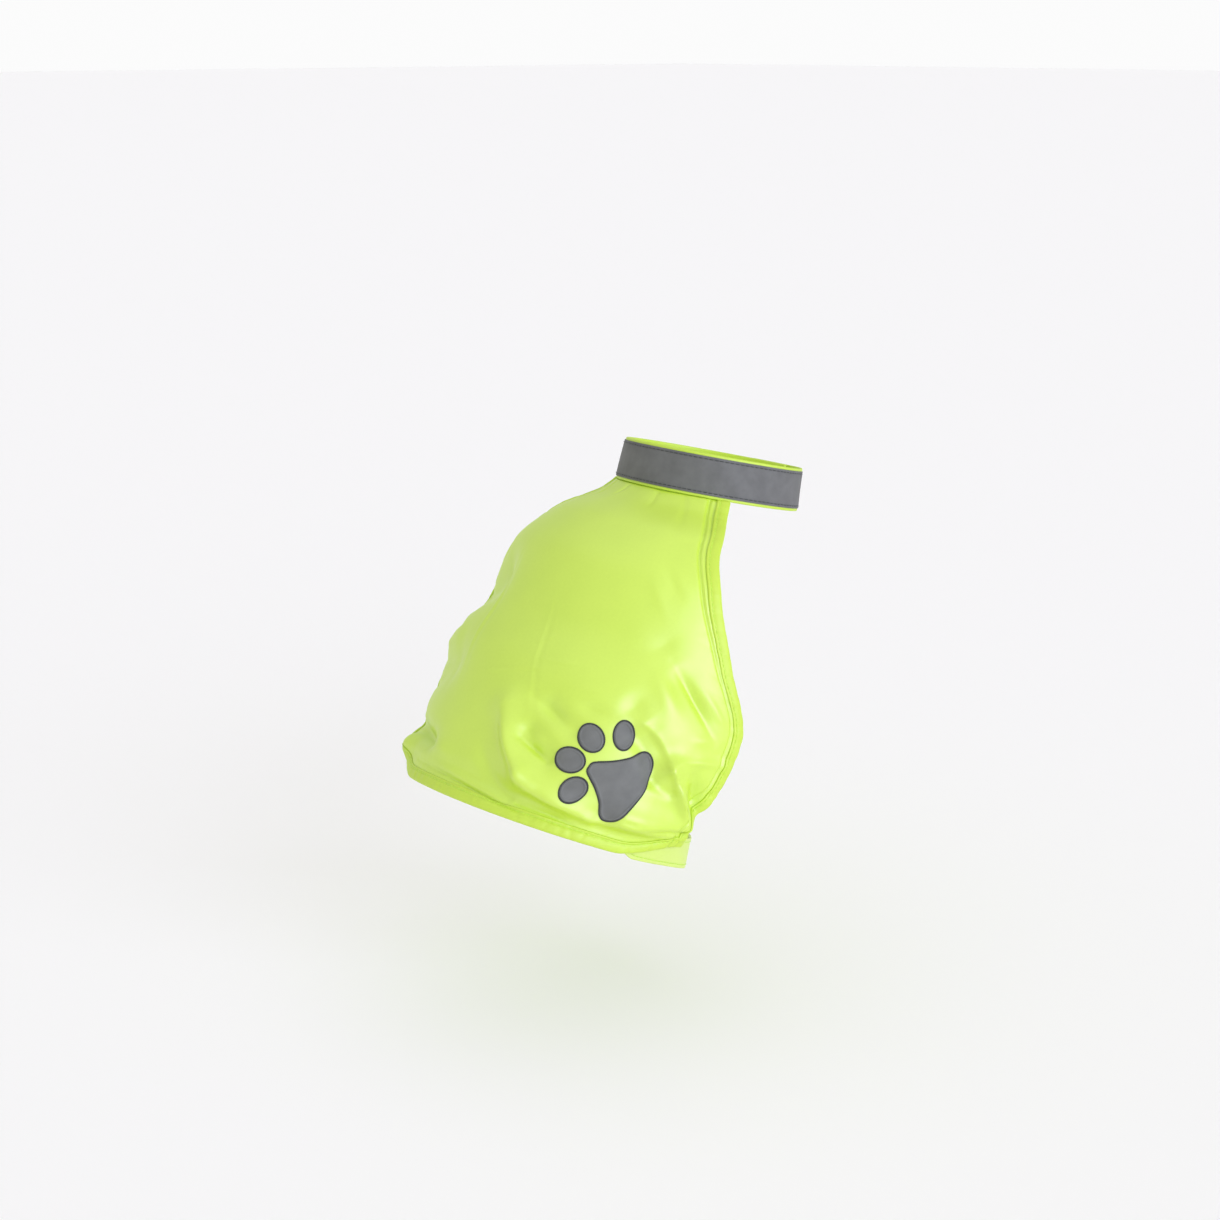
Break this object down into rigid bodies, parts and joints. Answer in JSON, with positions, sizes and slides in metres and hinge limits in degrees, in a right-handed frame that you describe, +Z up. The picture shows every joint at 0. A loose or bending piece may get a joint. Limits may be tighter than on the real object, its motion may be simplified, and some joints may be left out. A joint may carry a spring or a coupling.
{
  "type": "reflective dog vest",
  "caption": "Small dog vest in its worn hollow form: bound back panel with a paw print, reflective collar and belly strap, both closed by hook and loop.",
  "frame": {"origin": "centre of the collar's lower rim, where the vest is held round the neck", "axes": "+Z up, -Y towards the chest side, +Y towards the hem along the back, -X the vest's right side"},
  "size_m": [0.2073, 0.2673, 0.2421],
  "materials": {
    "fluorescent_cloth": "smooth woven polyester, fluorescent yellow-green",
    "fluorescent_binding": "folded woven binding, fluorescent yellow-green",
    "reflective_tape": "grey retroreflective tape, satin",
    "reflective_applique": "grey retroreflective fabric with a stitched edge",
    "hook_and_loop": "matte brushed pile"
  },
  "bodies": {
    "root": {"back_panel": "fluorescent_cloth", "armhole_binding_left": "fluorescent_binding", "armhole_binding_right": "fluorescent_binding", "hem_binding": "fluorescent_binding", "neck_band": "fluorescent_binding", "neck_reflective_tape": "reflective_tape", "neck_hook_patch": "hook_and_loop", "neck_loop_patch": "hook_and_loop", "belly_strap_right": "fluorescent_cloth", "belly_strap_left": "fluorescent_cloth", "belly_hook_patch": "hook_and_loop", "belly_loop_patch": "hook_and_loop", "paw_right_pad": "reflective_applique", "paw_right_toe_outer_front": "reflective_applique", "paw_right_toe_inner_front": "reflective_applique", "paw_right_toe_inner_rear": "reflective_applique", "paw_right_toe_outer_rear": "reflective_applique"}
  },
  "joints": []
}
